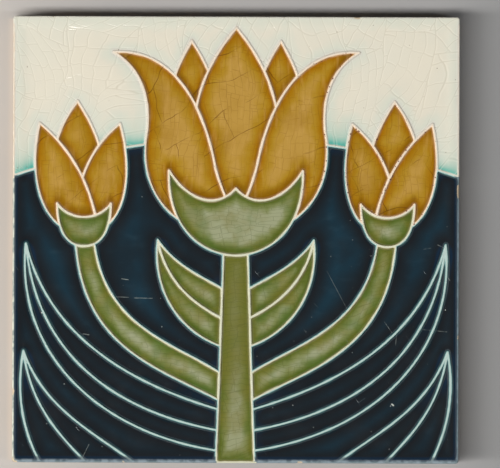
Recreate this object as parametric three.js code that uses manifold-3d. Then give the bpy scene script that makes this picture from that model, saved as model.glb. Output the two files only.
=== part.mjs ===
// A square wall tile with a moulded art nouveau face.
//
// The tile is one fired piece. It lies face up on its keyed back: +Z is the face's normal, +Y is the picture's top,
// and the origin is the middle of the back. Narrow raised ridges stand on the face and fence in the shallow cells
// that hold the coloured glazes. The picture is a large tulip between two smaller ones on branching stems, with
// long leaves on both sides, before a low hill. A narrow rim runs round the face, and straight key grooves run
// across the back. All lengths are in millimetres.

import * as THREE from "three";
import { mergeVertices } from "three/addons/utils/BufferGeometryUtils.js";
import Module from "manifold-3d";

// The body
const TILE_SIDE = 152;
const TILE_THICKNESS = 9.5;
const CORNER_RADIUS = 1.6;
const ARRIS = 0.5;

// The face: glaze cells below the level of the rim and the ridges
const CELL_DEPTH = 0.6;
const RIM_WIDTH = 0.9;
const RIDGE_CREST_WIDTH = 0.7;
const FLANK_WIDTH = 0.4;

// The back: straight key grooves with sloping sides, inside a plain margin
const KEY_DEPTH = 1.1;
const KEY_MOUTH_WIDTH = 5.5;
const KEY_FLOOR_WIDTH = 4.3;
const KEY_PITCH = 11;
const KEY_MARGIN = 9;

// How finely curves are cut into straight steps
const SAMPLES_PER_CURVE = 32;
const CHORD_TOLERANCE = 0.1;
const CORNER_ANGLE = Math.PI / 6;
const CORNER_STEPS = 4;

// The picture is drawn on a grid of 100 units from the tile's centre to its edge. Each outline is a closed chain of
// cubic curves: a start point, and then two control points and an end point for each curve. It starts at a corner,
// or where it can't be seen. A shape hides what comes before it in the list. A mirrored shape is drawn on the right
// and repeated on the left. Veins are open chains that lie on their shape. What runs past 100 units ends in the rim.
const GRID_UNITS = 100;
const PICTURE = [
  {
    name: "hill",
    outline: [
      [-106, 26], [-74, 38], [-40, 45], [0, 45], [40, 45], [74, 38], [106, 26],
      [106, -20], [106, -60], [106, -106], [40, -106], [-40, -106], [-106, -106],
      [-106, -60], [-106, -20], [-106, 26],
    ],
  },
  {
    name: "low_leaf",
    mirrored: true,
    outline: [
      [38, -106], [58, -88], [84, -80], [95, -50], [99, -72], [94, -90], [84, -106],
      [68, -106], [52, -106], [38, -106],
    ],
    veins: [[[61, -106], [76, -90], [91, -78], [95, -50]]],
  },
  {
    name: "tall_leaf",
    mirrored: true,
    outline: [
      [4, -77], [36, -68], [82, -50], [94, -2], [99, -50], [62, -88], [4, -95],
      [4, -90], [4, -84], [4, -77],
    ],
    veins: [[[4, -86], [48, -79], [89, -56], [94, -2]]],
  },
  {
    name: "bract",
    mirrored: true,
    outline: [
      [2, -49], [20, -45], [38, -28], [35, 0], [27, -12], [14, -17], [2, -24],
      [2, -32], [2, -41], [2, -49],
    ],
    veins: [[[2, -37], [16, -31], [31, -21], [35, 0]]],
  },
  {
    name: "side_stem",
    mirrored: true,
    outline: [
      [2, -63], [24, -46], [62, -42], [64, 6], [66, 7], [70, 7], [72, 6],
      [72, -52], [30, -58], [2, -75], [2, -71], [2, -67], [2, -63],
    ],
  },
  {
    name: "stem",
    outline: [
      [-9, -106], [-7, -60], [-6, -20], [-5, 12], [-2, 14], [2, 14], [5, 12],
      [6, -20], [7, -60], [9, -106], [3, -106], [-3, -106], [-9, -106],
    ],
  },
  {
    name: "bud_back_petal",
    mirrored: true,
    outline: [[62, 10], [54, 30], [62, 48], [71, 62], [82, 48], [86, 30], [76, 10], [70, 10], [66, 10], [62, 10]],
  },
  {
    name: "bud_inner_petal",
    mirrored: true,
    outline: [[66, 3], [50, 4], [45, 28], [52, 52], [62, 44], [72, 30], [72, 6], [70, 4], [68, 3], [66, 3]],
  },
  {
    name: "bud_outer_petal",
    mirrored: true,
    outline: [[70, 3], [86, 4], [94, 26], [88, 52], [78, 44], [66, 30], [62, 6], [64, 4], [66, 3], [70, 3]],
  },
  {
    name: "bud_cup",
    mirrored: true,
    outline: [[80, 16], [74, 8], [62, 8], [56, 16], [56, 4], [60, -3], [68, -3], [76, -3], [80, 4], [80, 16]],
  },
  {
    name: "back_petal",
    mirrored: true,
    outline: [[6, 20], [2, 46], [8, 72], [20, 89], [30, 72], [36, 54], [28, 20], [20, 20], [14, 20], [6, 20]],
  },
  {
    name: "middle_petal",
    outline: [[-8, 12], [-20, 28], [-28, 62], [0, 95], [28, 62], [20, 28], [8, 12], [3, 12], [-3, 12], [-8, 12]],
  },
  {
    name: "outer_petal",
    mirrored: true,
    outline: [
      [0, 2], [26, 1], [45, 20], [40, 48], [38, 64], [43, 77], [55, 84],
      [28, 86], [15, 60], [10, 36], [8, 26], [4, 16], [0, 12], [0, 9], [0, 5], [0, 2],
    ],
  },
  {
    name: "calyx",
    outline: [
      [0, 23], [-9, 13], [-22, 18], [-30, 31], [-31, 4], [-14, -7], [0, -7],
      [14, -7], [31, 4], [30, 31], [22, 18], [9, 13], [0, 23],
    ],
  },
];

const HALF_SIDE = TILE_SIDE / 2;
const FACE_LEVEL = TILE_THICKNESS;
const CELL_LEVEL = FACE_LEVEL - CELL_DEPTH;
const RIM_FOOT = HALF_SIDE - RIM_WIDTH - FLANK_WIDTH;
const RIM_CREST_MIDDLE = HALF_SIDE - (RIM_WIDTH + ARRIS) / 2;

// A boss fills each sharp corner of a line. It is wider than the ridges, so that its sides cross theirs cleanly.
const BOSS_RADIUS = 0.64 * RIDGE_CREST_WIDTH;
const BOSS_SIDES = 8;

const wasm = await Module();
wasm.setup();

// A closed three.js geometry as a solid that can be joined and cut.
function solidFrom(geometry) {
  const bare = geometry.index ? geometry.toNonIndexed() : geometry.clone();
  bare.deleteAttribute("normal");
  bare.deleteAttribute("uv");
  const merged = mergeVertices(bare, 1e-5);
  return new wasm.Manifold(
    new wasm.Mesh({
      numProp: 3,
      vertProperties: merged.attributes.position.array,
      triVerts: new Uint32Array(merged.index.array),
    }),
  );
}

// A joined solid as a three.js geometry with flat faces.
function geometryFrom(solid) {
  const mesh = solid.getMesh();
  const geometry = new THREE.BufferGeometry();
  geometry.setAttribute("position", new THREE.BufferAttribute(new Float32Array(mesh.vertProperties), 3));
  geometry.setIndex(new THREE.BufferAttribute(new Uint32Array(mesh.triVerts), 1));
  const faceted = geometry.toNonIndexed();
  faceted.computeVertexNormals();
  return faceted;
}

// A square with round corners, centred on the origin.
function squareShape(half, radius) {
  const straight = half - radius;
  const shape = new THREE.Shape();
  shape.absarc(straight, straight, radius, 0, Math.PI / 2);
  shape.absarc(-straight, straight, radius, Math.PI / 2, Math.PI);
  shape.absarc(-straight, -straight, radius, Math.PI, 1.5 * Math.PI);
  shape.absarc(straight, -straight, radius, 1.5 * Math.PI, 2 * Math.PI);
  return shape;
}

// The full slab, with its long edges eased at the face and at the back.
function bodySolid() {
  const slab = new THREE.ExtrudeGeometry(squareShape(HALF_SIDE, CORNER_RADIUS), {
    depth: TILE_THICKNESS - 2 * ARRIS,
    curveSegments: CORNER_STEPS,
    bevelEnabled: true,
    bevelThickness: ARRIS,
    bevelSize: ARRIS,
    bevelOffset: -ARRIS,
    bevelSegments: 1,
  });
  slab.translate(0, 0, ARRIS);
  return solidFrom(slab);
}

// What is taken out of the slab to leave the rim. Its floor is the floor of the glaze cells.
function facePocket() {
  const pocket = new THREE.ExtrudeGeometry(squareShape(RIM_FOOT, CORNER_RADIUS), {
    depth: CELL_DEPTH,
    curveSegments: CORNER_STEPS,
    bevelEnabled: true,
    bevelThickness: CELL_DEPTH,
    bevelSize: FLANK_WIDTH,
    bevelSegments: 1,
  });
  pocket.translate(0, 0, FACE_LEVEL);
  return solidFrom(pocket);
}

// The column that ridges are kept within, so that they end inside the rim's crest.
function faceColumn() {
  const column = new THREE.ExtrudeGeometry(squareShape(RIM_CREST_MIDDLE, CORNER_RADIUS), {
    depth: 2 * TILE_THICKNESS,
    curveSegments: CORNER_STEPS,
    bevelEnabled: false,
  });
  return solidFrom(column);
}

// A key groove as long as the margins allow, lying along X at the height y.
function keyGroove(y) {
  const length = TILE_SIDE - 2 * KEY_MARGIN;
  const mouth = KEY_MOUTH_WIDTH / 2;
  const floor = KEY_FLOOR_WIDTH / 2;
  const spread = (mouth - floor) / KEY_DEPTH;
  const section = new THREE.Shape([
    new THREE.Vector2(-mouth - spread, -1),
    new THREE.Vector2(mouth + spread, -1),
    new THREE.Vector2(floor, KEY_DEPTH),
    new THREE.Vector2(-floor, KEY_DEPTH),
  ]);
  const groove = new THREE.ExtrudeGeometry(section, { depth: length, bevelEnabled: false });
  groove.translate(0, 0, -length / 2);
  groove.rotateX(Math.PI / 2);
  groove.rotateZ(Math.PI / 2);
  groove.translate(0, y, 0);
  return solidFrom(groove);
}

// The heights of the grooves: as many as the margins allow, placed evenly about the middle.
function keyHeights() {
  const room = TILE_SIDE - 2 * KEY_MARGIN - KEY_MOUTH_WIDTH;
  const steps = Math.floor(room / KEY_PITCH);
  return Array.from({ length: steps + 1 }, (_, i) => (i - steps / 2) * KEY_PITCH);
}

// A chain of cubic curves on the drawing grid as closely spaced points in millimetres.
function chainPoints(chain, side) {
  const place = ([x, y]) => new THREE.Vector2(side * x, y).multiplyScalar(HALF_SIDE / GRID_UNITS);
  const points = [place(chain[0])];
  for (let i = 0; i + 3 < chain.length; i += 3) {
    const curve = new THREE.CubicBezierCurve(...chain.slice(i, i + 4).map(place));
    points.push(...curve.getPoints(SAMPLES_PER_CURVE).slice(1));
  }
  return points;
}

// Every shape of the picture on its own side, in order, with its outline and veins in millimetres.
function placedShapes() {
  return PICTURE.flatMap(({ outline, veins = [], mirrored = false }) =>
    (mirrored ? [1, -1] : [1]).map((side) => ({
      outline: chainPoints(outline, side),
      veins: veins.map((vein) => chainPoints(vein, side)),
    })),
  );
}

// Whether a point lies inside a closed outline, by counting the edges to its right.
function isInside(point, outline) {
  let inside = false;
  outline.forEach((b, i) => {
    const a = outline[(i + outline.length - 1) % outline.length];
    const crosses = a.y > point.y !== b.y > point.y;
    if (crosses && point.x < a.x + ((b.x - a.x) * (point.y - a.y)) / (b.y - a.y)) inside = !inside;
  });
  return inside;
}

// The point where a step goes in or out of sight, found by halving the step.
function crossing(from, to, shows) {
  let [near, far] = [from, to];
  for (let halvings = 0; halvings < 8; halvings++) {
    const middle = near.clone().lerp(far, 0.5);
    if (shows(middle) === shows(from)) near = middle;
    else far = middle;
  }
  return near;
}

// The stretches of a line where shows(point) is true.
function visibleRuns(line, shows) {
  const runs = [];
  let run = [];
  line.forEach((point, i) => {
    const visible = shows(point);
    const changed = i > 0 && visible !== shows(line[i - 1]);
    if (changed) run.push(crossing(line[i - 1], point, shows));
    if (visible) run.push(point);
    if (run.length > 1 && (changed ? !visible : i === line.length - 1)) runs.push(run);
    if (!visible) run = [];
  });
  return runs;
}

// The lines of the picture that no later shape hides.
function pictureLines() {
  const shapes = placedShapes();
  return shapes.flatMap(({ outline, veins }, order) => {
    const later = shapes.slice(order + 1);
    const onTile = (p) => Math.max(Math.abs(p.x), Math.abs(p.y)) < HALF_SIDE;
    const shows = (p) => onTile(p) && !later.some((shape) => isInside(p, shape.outline));
    return [outline, ...veins].flatMap((line) => visibleRuns(line, shows));
  });
}

// Cuts a line at its sharp corners, so that each piece is smooth.
function smoothPieces(points) {
  const pieces = [];
  let piece = [points[0]];
  for (let i = 1; i < points.length - 1; i++) {
    piece.push(points[i]);
    const before = points[i].clone().sub(points[i - 1]);
    const after = points[i + 1].clone().sub(points[i]);
    const turn = Math.atan2(before.cross(after), before.dot(after));
    if (Math.abs(turn) > CORNER_ANGLE) {
      pieces.push(piece);
      piece = [points[i]];
    }
  }
  return [...pieces, [...piece, points[points.length - 1]]];
}

// The corners between a line's pieces, with the one where a closed line starts and ends.
function cornersBetween(pieces) {
  const start = pieces[0][0];
  const end = pieces[pieces.length - 1].slice(-1)[0];
  const isClosed = start.distanceTo(end) < CHORD_TOLERANCE;
  return pieces.slice(isClosed ? 0 : 1).map((piece) => piece[0]);
}

// Leaves out the points that a straight step can do without.
function thinned(points) {
  const [a, b] = [points[0], points[points.length - 1]];
  const along = b.clone().sub(a).normalize();
  const offsets = points.map((p) => Math.abs(along.cross(p.clone().sub(a))));
  const furthest = Math.max(...offsets);
  if (points.length < 3 || furthest < CHORD_TOLERANCE) return [a, b];
  const at = offsets.indexOf(furthest);
  return [...thinned(points.slice(0, at + 1)).slice(0, -1), ...thinned(points.slice(at))];
}

// The plan of a ridge's crest: the line widened to both sides, and cut square at its ends.
function crestShape(points) {
  const steps = points.slice(1).map((p, i) => p.clone().sub(points[i]).normalize());
  const widths = points.map((_, i) => {
    const into = steps[Math.max(i - 1, 0)];
    const out = steps[Math.min(i, steps.length - 1)];
    const middle = into.clone().add(out).normalize();
    const across = new THREE.Vector2(-middle.y, middle.x);
    return across.multiplyScalar(RIDGE_CREST_WIDTH / 2 / middle.dot(into));
  });
  const left = points.map((p, i) => p.clone().add(widths[i]));
  const right = points.map((p, i) => p.clone().sub(widths[i]));
  return new THREE.Shape([...left, ...right.reverse()]);
}

// The plan of the boss at a corner.
function bossShape(corner) {
  const around = (i) => ((i + 0.5) * 2 * Math.PI) / BOSS_SIDES;
  const spoke = (i) => new THREE.Vector2(BOSS_RADIUS, 0).rotateAround(new THREE.Vector2(), around(i));
  return new THREE.Shape(Array.from({ length: BOSS_SIDES }, (_, i) => spoke(i).add(corner)));
}

// What stands on the cells' floor with the given plan as its crest. Its flanks widen from the crest down to the
// floor, and its root is inside the body.
function raisedSolid(crest) {
  const raised = new THREE.ExtrudeGeometry(crest, {
    depth: CELL_DEPTH,
    bevelEnabled: true,
    bevelThickness: CELL_DEPTH,
    bevelSize: FLANK_WIDTH,
    bevelSegments: 1,
  });
  raised.translate(0, 0, CELL_LEVEL - CELL_DEPTH);
  return solidFrom(raised);
}

// The ridges and corner bosses of the whole picture, trimmed to the face.
function ridgeNetwork() {
  const lines = pictureLines().map(smoothPieces);
  const ridges = lines.flat().map((piece) => raisedSolid(crestShape(thinned(piece))));
  const bosses = lines.flatMap(cornersBetween).map((corner) => raisedSolid(bossShape(corner)));
  return wasm.Manifold.union([...ridges, ...bosses]).intersect(faceColumn());
}

function tileSolid() {
  const grooves = wasm.Manifold.union(keyHeights().map(keyGroove));
  return bodySolid().subtract(facePocket()).subtract(grooves).add(ridgeNetwork());
}

const glazedEarthenware = new THREE.MeshStandardMaterial({ color: 0x1e2c38, roughness: 0.15, metalness: 0 });

const tile = new THREE.Mesh(geometryFrom(tileSolid()), glazedEarthenware);
tile.name = "tile";

const object = new THREE.Group();
object.add(tile);

export default object;
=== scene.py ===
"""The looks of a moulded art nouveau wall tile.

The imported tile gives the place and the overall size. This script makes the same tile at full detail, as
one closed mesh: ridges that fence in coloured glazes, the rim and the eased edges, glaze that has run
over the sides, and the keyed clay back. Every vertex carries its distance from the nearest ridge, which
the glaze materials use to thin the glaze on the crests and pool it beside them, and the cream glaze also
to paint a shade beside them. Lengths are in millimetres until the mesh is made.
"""

import math

import bpy
import numpy as np
from mathutils import Matrix, Vector, kdtree, noise
from mathutils.geometry import delaunay_2d_cdt


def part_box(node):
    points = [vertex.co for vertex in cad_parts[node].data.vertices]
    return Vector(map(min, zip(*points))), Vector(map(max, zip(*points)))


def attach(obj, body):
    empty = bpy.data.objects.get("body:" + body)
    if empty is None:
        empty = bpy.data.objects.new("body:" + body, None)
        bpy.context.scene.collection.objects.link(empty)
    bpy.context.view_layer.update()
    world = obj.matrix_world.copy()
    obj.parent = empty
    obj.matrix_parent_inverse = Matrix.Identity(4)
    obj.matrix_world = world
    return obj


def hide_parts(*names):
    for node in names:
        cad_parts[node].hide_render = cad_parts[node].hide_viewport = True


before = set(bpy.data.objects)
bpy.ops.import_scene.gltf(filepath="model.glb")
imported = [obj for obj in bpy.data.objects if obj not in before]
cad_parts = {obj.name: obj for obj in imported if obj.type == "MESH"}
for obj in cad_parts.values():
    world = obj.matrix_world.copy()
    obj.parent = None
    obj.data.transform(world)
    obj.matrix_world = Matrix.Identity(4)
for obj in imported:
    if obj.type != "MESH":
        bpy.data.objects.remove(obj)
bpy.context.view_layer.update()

MM = 0.001
LOW, HIGH = (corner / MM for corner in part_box("tile"))
HALF_SIDE = (HIGH.x - LOW.x) / 2
THICKNESS = HIGH.z - LOW.z

# The tile's own sizes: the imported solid's, but for the corners, which the photograph shows sharper
CORNER_RADIUS = 1.0
ARRIS = 0.5
CELL_DEPTH = 0.6
RIM_CREST = 0.7

# The key grooves in the back, with the insets of their walls and of the rings of points round them
KEY_DEPTH = 1.1
KEY_MOUTH_WIDTH = 5.5
KEY_PITCH = 11
KEY_MARGIN = 9
KEY_COUNT = 12
KEY_HALF_SIZE = (HALF_SIDE - KEY_MARGIN, KEY_MOUTH_WIDTH / 2)
KEY_CORNER = 0.9
KEY_LEAST_CORNER = 0.05
KEY_CORNER_POINTS = 4
KEY_WALL = (-0.12, 0.72)
KEY_RINGS = (-0.18, 0.05, 0.2, 0.35, 0.5, 0.72)
KEY_RING_STEP = 1.6

# The ridges and the rim under the glaze: how wide and steep they look, and how their width wavers
RIDGE_HALF_WIDTH = 0.45
RIDGE_SHARPNESS = 6
RIDGE_WAVER = 0.14
RIDGE_WAVE = 4
RIM_GLAZE = 0.15
RIM_SOFTNESS = 7

# The glaze in the cells: how much it fills them, how it bulges, and its slow waves
GLAZE_FILL = 0.16
CREAM_FILL = 0.37
DOME = 0.08
DOME_REACH = 2.5
CELL_WAVE = 9
CELL_WAVE_HEIGHT = 0.02

# The wear of the edges, with painted light: a band along the top edge that is spared, as painted shade of
# the arris that faces away from the light, the share left at the bottom edge, which widens its pale band
# as a painted highlight, and how far down the sides the wear is at its full
TOP_BAND = 3
TOP_BAND_FADE = 1.5
TOP_EDGE_LINE_SHADE = 0.8
TOP_EDGE_WEAR_SHADE = 2
BOTTOM_EDGE_HIGHLIGHT_SHARE = 0.5
WORN_DOWN = 0.7

# The glaze on the sides: how far it has run, the (size, seed) of its waves, the height of its foot, and
# the distance from a crest that its thickness stands for, by the way down
GLAZE_RUN = 0.9
GLAZE_RUN_VARIES = 0.5
GLAZE_RUN_WAVES = ((3, 2), (11, 3))
LEAST_RUN = 0.15
GLAZE_FOOT = 0.12
THINNED_DOWN = [(0, ARRIS - RIM_GLAZE), (0.3, 0), (0.8, 0.1), (1.3, 0.7), (3, 1.2)]
SIDE_POOLING = 0.4

# Rows of points down the sides: round the arris, down the run of glaze as (inset, share of a chip, share
# of the run), down the clay, and round the lower edge as (inset, height)
ARRIS_ROWS = 6
RUN_ROWS = ((0.01, 0.6, 0.55), (0.0, 0.2, 1.0))
GLAZED_ROWS = ARRIS_ROWS - 1 + len(RUN_ROWS)
CLAY_INSET = 0.07
CLAY_SHARES = (0.7, 0.4, 0.1)
LOWER_EDGE = ((0.12, 0.35), (0.25, 0.14), (ARRIS, 0.0))

# Spacing of the face's points
CURVE_SAMPLES = 65
LINE_STEP = 0.12
STATION_STEP = 0.6
RIDGE_OFFSETS = (0, 0.18, 0.36, 0.54, 0.75, 1.05, 1.5)
OFFSET_SLACK = 0.04
RIM_SLACK = 0.02
CORNER_COSINE = 0.94
RING_POINTS = 12
SLOPE_REACH = 0.04
EDGE_STEP = 0.9
EDGE_CORNER_POINTS = 7
FILL_STEP = 1.25
LEAST_GAP = 0.13
DENSITY_SKIP = 6
DENSITY_REACH = 5
INSIDE_BLOCK = 1000

# How far down the glaze has sagged above each ridge, in steps
SAG_STEPS = (1, 2, 3, 4)
SAG_SPREAD = 2.5

# The shares of the bake map's side that each surface takes
MAP_MARGIN = 0.006
FACE_IN_MAP = 0.7
BACK_IN_MAP = 0.27
SIDE_IN_MAP = 0.06

# What the materials read at each point, and the value where a surface gives none
POINT_VALUES = dict(line_mm=9.0, skyline_mm=20.0, pooling=0.0, below_mm=9.0, edge_mm=9.0, chipped=0.0)

# Chips in the edge: where, how long and how deep
CHIPS = [
    (76, 16.7, 2.3, 0.3),
    (76, -33, 0.9, 0.16),
    (41, 76, 1.3, 0.2),
    (-62.5, 76, 0.8, 0.16),
    (-76, 33.5, 1.1, 0.18),
    (-76, -52, 1.5, 0.22),
    (22, -76, 1.2, 0.2),
    (-38, -76, 0.8, 0.16),
    (-75.6, -75.6, 1.4, 0.24),
]

# The depth from which a chip shows bare clay, how far it reaches onto the face, and its grain
CHIP_SHOWS = 0.14
CHIP_ON_FACE = 0.5
CHIP_GRAIN = 0.7
CHIP_UNEVEN = 0.5

# Scratches in the blue glaze: start, end, width, and how far each shows
SCRATCHES = [
    ((-42.3, -19.5), (-36.5, -19.7), 0.16, 0.45),
    ((-34.5, -19.9), (-28.4, -20), 0.18, 0.6),
    ((-38.9, -13.4), (-36.6, -13.7), 0.2, 0.7),
    ((-52, -32.2), (-49.9, -32.5), 0.2, 0.5),
    ((-52.3, -75), (-49.8, -69.8), 0.14, 0.45),
    ((31, -10.5), (38.5, -24.5), 0.14, 0.3),
    ((57, 11), (60.5, 13.5), 0.14, 0.35),
    ((68.7, -1.5), (71.7, -2.9), 0.2, 0.4),
    ((63.9, -3), (66.4, -2.6), 0.2, 0.15),
    ((71.8, -12.1), (72.9, -13.6), 0.2, 0.35),
    ((50.7, -27.8), (53.2, -31.4), 0.13, 0.55),
    ((54.9, -31), (54.5, -35.7), 0.18, 0.35),
    ((62.3, -30.2), (71.9, -31.1), 0.2, 0.3),
]

# Small nicks in the blue glaze: start, end and width
NICKS = [
    ((53.3, -55.8), (53.8, -56.2), 0.42),
    ((-66, -25), (-65.9, -25.1), 0.3),
    ((71.4, -23.6), (71.4, -23.7), 0.24),
    ((71.8, -41.1), (71.8, -41.2), 0.24),
]

# The photograph's frame: its width and middle on the tile's face, and its tilt in degrees
SENSOR_WIDTH = 36
FOCAL_LENGTH = 400
FRAME_WIDTH = 170.2
FRAME_CENTRE = (4.8, 2.0)
FRAME_TILT = 0.2

# The floor's colour by the distance from a line left of the tile, a painted shade that darkens and greys
# it to the right, and the dim surround
FLOOR_SIDE = 2400
FLOOR_GAP = 0.05
FLOOR_START = 14
FLOOR_PAINTED_SHADE = [
    (0, (199, 193, 187)),
    (22, (186, 182, 178)),
    (48, (175, 172, 170)),
    (160, (162, 161, 161)),
    (190, (145, 146, 146)),
]
SURROUND = (0.06, 0.061, 0.064)

# The lights: name, place, aim, size, watts and colour
WARM = (1, 0.985, 0.965)
COOL = (0.97, 0.985, 1)
LIGHTS = [
    ("key", (-1270, -667, 2085), (400, 0, 0), (390, 3800), 70.5, WARM),
    ("low", (-2480, -310, 1760), (0, 0, 0), (210, 2150), 33, WARM),
    ("fill", (1895, -496, 2620), (0, 0, 0), (180, 2170), 17.2, COOL),
]

# The materials, in the order of the mesh's slots
CREAM, OCHRE, GREEN, BLUE, CLAY = range(5)
GLAZE_IOR = 1.47
CLAY_IOR = 1.4
CHIP_COLOUR = (205, 188, 158)
DOT_EDGE = 0.08

# How far apart two seeds' patterns lie, and how far a column or a cell of cracks can be shifted
SEED_STEP = (31.7, 17.3)
DOT_SEED_STEP = (13.1, 7.7)
COLUMN_SEED_STEP = 7.7
COLUMN_SLIDE = 97.0
CELL_SHIFT = 50.0

# How cracks stray, in shares of a cell's width: how long their bends are, and how far they go
SWEEP = (3.0, 1.1)
WOBBLE = (0.6, 0.12)
FINE_WOBBLE = (1.3, 0.22)

# The picture, on a grid of 100 units from the tile's centre to its edge. Each outline is a closed chain
# of cubic curves: a start point, and then two control points and an end point for each curve. A shape
# hides what comes before it. A mirrored one is drawn on the right and repeated on the left.
GRID_UNITS = 100
PICTURE = [
    dict(name="hill", glaze=BLUE, outline=[
        (-106, 26), (-74, 38), (-40, 45), (0, 45), (40, 45), (74, 38), (106, 26), (106, -20),
        (106, -60), (106, -106), (40, -106), (-40, -106), (-106, -106), (-106, -60), (-106, -20),
        (-106, 26),
    ]),
    dict(name="low_leaf", glaze=BLUE, mirrored=True, outline=[
        (38, -106), (58, -88), (84, -80), (95, -50), (99, -72), (94, -90), (84, -106), (68, -106),
        (52, -106), (38, -106),
    ], veins=[[(61, -106), (76, -90), (91, -78), (95, -50)]]),
    dict(name="tall_leaf", glaze=BLUE, mirrored=True, outline=[
        (4, -77), (36, -68), (82, -50), (94, -2), (99, -50), (62, -88), (4, -95), (4, -90), (4, -84),
        (4, -77),
    ], veins=[[(4, -86), (48, -79), (89, -56), (94, -2)]]),
    dict(name="bract", glaze=GREEN, mirrored=True, outline=[
        (2, -49), (20, -45), (38, -28), (35, 0), (27, -12), (14, -17), (2, -24), (2, -32), (2, -41),
        (2, -49),
    ], veins=[[(2, -37), (16, -31), (31, -21), (35, 0)]]),
    dict(name="side_stem", glaze=GREEN, mirrored=True, outline=[
        (2, -63), (24, -46), (62, -42), (64, 6), (66, 7), (70, 7), (72, 6), (72, -52), (30, -58),
        (2, -75), (2, -71), (2, -67), (2, -63),
    ]),
    dict(name="stem", glaze=GREEN, outline=[
        (-9, -106), (-7, -60), (-6, -20), (-5, 12), (-2, 14), (2, 14), (5, 12), (6, -20), (7, -60),
        (9, -106), (3, -106), (-3, -106), (-9, -106),
    ]),
    dict(name="bud_back_petal", glaze=OCHRE, mirrored=True, outline=[
        (62, 10), (54, 30), (62, 48), (71, 62), (82, 48), (86, 30), (76, 10), (70, 10), (66, 10),
        (62, 10),
    ]),
    dict(name="bud_inner_petal", glaze=OCHRE, mirrored=True, outline=[
        (66, 3), (50, 4), (45, 28), (52, 52), (62, 44), (72, 30), (72, 6), (70, 4), (68, 3), (66, 3),
    ]),
    dict(name="bud_outer_petal", glaze=OCHRE, mirrored=True, outline=[
        (70, 3), (86, 4), (94, 26), (88, 52), (78, 44), (66, 30), (62, 6), (64, 4), (66, 3), (70, 3),
    ]),
    dict(name="bud_cup", glaze=GREEN, mirrored=True, outline=[
        (80, 16), (74, 8), (62, 8), (56, 16), (56, 4), (60, -3), (68, -3), (76, -3), (80, 4), (80, 16),
    ]),
    dict(name="back_petal", glaze=OCHRE, mirrored=True, outline=[
        (6, 20), (2, 46), (8, 72), (20, 89), (30, 72), (36, 54), (28, 20), (20, 20), (14, 20), (6, 20),
    ]),
    dict(name="middle_petal", glaze=OCHRE, outline=[
        (-8, 12), (-20, 28), (-28, 62), (0, 95), (28, 62), (20, 28), (8, 12), (3, 12), (-3, 12),
        (-8, 12),
    ]),
    dict(name="outer_petal", glaze=OCHRE, mirrored=True, outline=[
        (0, 2), (26, 1), (45, 20), (40, 48), (38, 64), (43, 77), (55, 84), (28, 86), (15, 60), (10, 36),
        (8, 26), (4, 16), (0, 12), (0, 9), (0, 5), (0, 2),
    ]),
    dict(name="calyx", glaze=GREEN, outline=[
        (0, 23), (-9, 13), (-22, 18), (-30, 31), (-31, 4), (-14, -7), (0, -7), (14, -7), (31, 4),
        (30, 31), (22, 18), (9, 13), (0, 23),
    ]),
]


# Lines of the picture


def length_along(points):
    """How far along a line each of its points lies."""
    return np.concatenate([[0], np.cumsum(np.linalg.norm(np.diff(points, axis=0), axis=1))])


def unit(vectors):
    return vectors / np.linalg.norm(vectors, axis=1, keepdims=True)


def directions(angles):
    return np.stack([np.cos(angles), np.sin(angles)], axis=1)


def chain_points(chain, side):
    """A chain of cubic curves as points LINE_STEP apart, in millimetres, mirrored where side is -1."""
    corners = np.array(chain, float) * (side, 1) * HALF_SIDE / GRID_UNITS
    t = np.linspace(0, 1, CURVE_SAMPLES)[:, None]
    curves = [
        (1 - t) ** 3 * a + 3 * t * (1 - t) ** 2 * b + 3 * t**2 * (1 - t) * c + t**3 * d
        for a, b, c, d in (corners[i : i + 4] for i in range(0, len(corners) - 3, 3))
    ]
    points = np.concatenate([curves[0], *(curve[1:] for curve in curves[1:])])
    along = length_along(points)
    even = np.linspace(0, along[-1], max(2, round(along[-1] / LINE_STEP)))
    return np.stack([np.interp(even, along, points[:, k]) for k in (0, 1)], axis=1)


def inside(points, outline):
    """Which points lie inside a closed outline, by counting edges to their right, a block at a time."""
    found = np.zeros(len(points), bool)
    low, high = outline.min(0), outline.max(0)
    near = np.flatnonzero(((points > low) & (points < high)).all(1))
    a, b = outline, np.roll(outline, -1, axis=0)
    rise = np.where(a[:, 1] == b[:, 1], 1, b[:, 1] - a[:, 1])
    for block in np.array_split(near, len(near) // INSIDE_BLOCK + 1):
        x, y = points[block, 0:1], points[block, 1:2]
        crosses = (a[:, 1] > y) != (b[:, 1] > y)
        right_of = x < a[:, 0] + (b[:, 0] - a[:, 0]) * (y - a[:, 1]) / rise
        found[block] = (crosses & right_of).sum(1) % 2 == 1
    return found


def placed_shapes():
    """Every shape on its own side, back to front, with its outline and veins in millimetres."""
    return [
        dict(
            name=shape["name"],
            glaze=shape["glaze"],
            outline=chain_points(shape["outline"], side),
            veins=[chain_points(vein, side) for vein in shape.get("veins", ())],
        )
        for shape in PICTURE
        for side in ((1, -1) if shape.get("mirrored") else (1,))
    ]


def stretches(points, visible):
    """The parts of a line where visible holds."""
    changes = np.flatnonzero(np.diff(visible.astype(int))) + 1
    parts = np.split(np.arange(len(points)), changes)
    return [points[part] for part in parts if visible[part[0]] and len(part) > 2]


def visible_lines(shapes):
    """The (name, points) of each stretch of line that no later shape hides."""
    found = []
    for order, shape in enumerate(shapes):
        for line in (shape["outline"], *shape["veins"]):
            hidden = edge_distance(line) < RIM_CREST
            for later in shapes[order + 1 :]:
                hidden |= inside(line, later["outline"])
            found += [(shape["name"], part) for part in stretches(line, ~hidden)]
    return found


def glaze_at(points, shapes):
    """The glaze of each point: that of the last shape that holds it, or cream."""
    glazes = np.full(len(points), CREAM)
    for shape in shapes:
        glazes[inside(points, shape["outline"])] = shape["glaze"]
    return glazes


# Distances


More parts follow.
